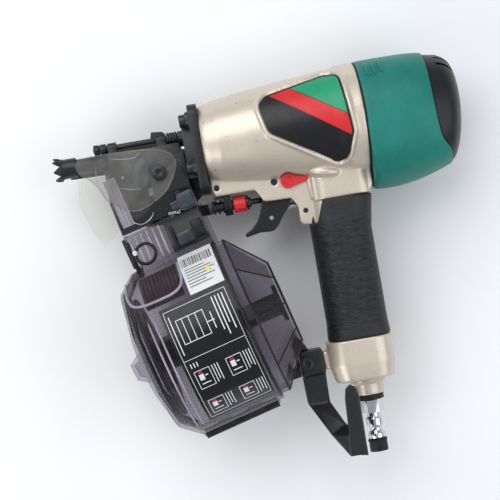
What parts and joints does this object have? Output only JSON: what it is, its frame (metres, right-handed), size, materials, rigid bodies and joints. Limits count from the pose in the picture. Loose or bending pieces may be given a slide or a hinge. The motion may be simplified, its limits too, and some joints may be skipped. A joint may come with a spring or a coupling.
{
  "type": "coil nailer",
  "caption": "Air-powered coil nailer lying on its side: turned housing, cap, rubber grip, hinged smoky drum magazine, nose with sliding toothed tip, trigger, hook and air plug.",
  "frame": {"origin": "mouth of the driver bore in the fixed nose tube, on the drive axis", "axes": "+X along the drive axis from the muzzle towards the rear cap; +Y away from the handle, which runs towards -Y; +Z towards the tool's left side, which faces up as the tool lies on its right side"},
  "size_m": [0.2868, 0.2706, 0.1204],
  "materials": {
    "housing_paint": "fine metallic champagne",
    "green_plastic": "satin",
    "black_plastic": "satin",
    "black_steel": "black oxide",
    "nose_casting": "black, worn",
    "liner_aluminium": "machined",
    "bright_steel": "turned",
    "spring_steel": "drawn wire",
    "seal_rubber": "matt",
    "grip_rubber": "moulded with low ridges",
    "smoky_plastic": "smoky clear",
    "clear_soft_plastic": "clear, a little yellowed",
    "clear_hard_plastic": "clear",
    "red_plastic": "satin",
    "latch_plastic": "satin",
    "badge_face": "printed, gloss",
    "valve_brass": "turned",
    "panel_print": "printed",
    "label_print": "printed",
    "plug_chrome": "bright plated"
  },
  "bodies": {
    "housing": {"main_housing": "housing_paint", "housing_gasket": "seal_rubber", "housing_pins": "black_steel", "cylinder_cap": "green_plastic", "exhaust_cover": "black_plastic", "cap_screws": "black_steel", "cylinder_liner": "liner_aluminium", "liner_seals": "seal_rubber", "piston_bumper": "seal_rubber", "head_valve_spring": "spring_steel", "badge_plate": "badge_face", "nose_body": "nose_casting", "nose_screws": "black_steel", "door_hinge_rod": "black_steel", "hinge_rod_nuts": "black_steel", "clear_nail_guard": "clear_hard_plastic", "arm_guide": "black_plastic", "arm_spring": "black_steel", "trigger_pin": "black_steel", "trigger_spring": "spring_steel", "trigger_valve_body": "valve_brass", "feeder_cylinder": "nose_casting", "feeder_spring": "spring_steel", "feeder_cap": "black_steel", "magazine_body": "smoky_plastic", "hinge_leaf_body": "black_plastic", "magazine_hinge_pin": "bright_steel", "magazine_seal": "seal_rubber", "nail_post": "black_plastic", "magazine_bracket": "black_steel", "bracket_bolt": "black_steel", "belt_hook": "black_steel", "grip_sleeve": "grip_rubber", "handle_end_cap": "housing_paint", "end_cap_screws": "bright_steel", "inlet_washer": "seal_rubber", "air_plug": "plug_chrome"},
    "drive_piston": {"piston": "liner_aluminium", "piston_ring": "seal_rubber", "driver_blade": "bright_steel"},
    "head_valve": {"head_valve": "black_plastic", "head_valve_seal": "seal_rubber"},
    "trigger": {"trigger": "black_plastic"},
    "contact_lever": {"trigger_lever": "bright_steel"},
    "valve_plunger": {"trigger_valve_plunger": "bright_steel"},
    "mode_lever": {"mode_lever": "red_plastic"},
    "contact_arm": {"contact_tip": "black_steel", "contact_arm": "black_steel"},
    "depth_adjuster": {"depth_adjuster": "red_plastic"},
    "nose_door": {"nail_guide_door": "nose_casting", "clear_nose_cover": "clear_soft_plastic", "cover_screw": "black_steel"},
    "door_latch": {"door_latch": "latch_plastic"},
    "magazine_cover": {"magazine_cover": "smoky_plastic", "hinge_leaf_cover": "black_plastic", "instruction_panel": "panel_print", "sticker": "label_print"},
    "nail_tray": {"nail_tray": "black_plastic"},
    "feeder": {"feeder_piston": "bright_steel"},
    "dust_cap": {"plug_dust_cap": "seal_rubber"}
  },
  "joints": [
    {"name": "piston_stroke", "type": "slide", "parent": "housing", "child": "drive_piston", "axis": [-1, 0, 0], "range_m": [0, 0.075]},
    {"name": "head_valve_slide", "type": "slide", "parent": "housing", "child": "head_valve", "axis": [1, 0, 0], "range_m": [0, 0.004], "stiffness_N_per_m": 2500, "springref_m": -0.004, "deforming": ["head_valve_spring"]},
    {"name": "trigger_pull", "type": "hinge", "parent": "housing", "child": "trigger", "pos_m": [0.1378, -0.034, 0], "axis": [0, 0, 1], "range_deg": [0, 10], "stiffness_Nm_per_rad": 1, "springref_deg": -11.46},
    {"name": "contact_lever_swing", "type": "hinge", "parent": "trigger", "child": "contact_lever", "pos_m": [0.132, -0.0581, 0], "axis": [0, 0, 1], "range_deg": [-16, 0]},
    {"name": "valve_plunger_slide", "type": "slide", "parent": "housing", "child": "valve_plunger", "axis": [1, 0, 0], "range_m": [0, 0.0033]},
    {"name": "mode_lever_turn", "type": "hinge", "parent": "housing", "child": "mode_lever", "pos_m": [0.1475, -0.0349, 0], "axis": [0, 0, 1], "range_deg": [-70, 0]},
    {"name": "contact_arm_slide", "type": "slide", "parent": "housing", "child": "contact_arm", "axis": [1, 0, 0], "range_m": [0, 0.007], "stiffness_N_per_m": 1500, "springref_m": -0.006, "deforming": ["arm_spring"]},
    {"name": "depth_adjuster_turn", "type": "hinge", "parent": "contact_arm", "child": "depth_adjuster", "pos_m": [0.1118, -0.0445, 0], "axis": [1, 0, 0], "range_deg": [-180, 180]},
    {"name": "nose_door_swing", "type": "hinge", "parent": "housing", "child": "nose_door", "pos_m": [0.05, 0.00875, 0.004], "axis": [-1, 0, 0], "range_deg": [0, 100]},
    {"name": "door_latch_slide", "type": "slide", "parent": "nose_door", "child": "door_latch", "axis": [0.9681, 0.2504, 0], "range_m": [0, 0.003], "stiffness_N_per_m": 600, "springref_m": -0.003},
    {"name": "magazine_cover_swing", "type": "hinge", "parent": "housing", "child": "magazine_cover", "pos_m": [0.08177, -0.19359, 0.004], "axis": [0.9681, 0.2504, 0], "range_deg": [0, 95]},
    {"name": "nail_tray_slide", "type": "slide", "parent": "housing", "child": "nail_tray", "axis": [0.9681, 0.2504, 0], "range_m": [0, 0.03]},
    {"name": "feeder_slide", "type": "slide", "parent": "housing", "child": "feeder", "axis": [0, 1, 0], "range_m": [-0.011, 0], "stiffness_N_per_m": 500, "springref_m": 0.006, "deforming": ["feeder_spring"]},
    {"name": "dust_cap_pull", "type": "slide", "parent": "housing", "child": "dust_cap", "axis": [0, -1, 0], "range_m": [0, 0.06]}
  ],
  "couplings": [
    {"joint": "valve_plunger_slide", "follows": "trigger_pull", "m_per_rad": 0.0183},
    {"joint": "contact_lever_swing", "follows": "contact_arm_slide", "rad_per_m": -39.8}
  ]
}
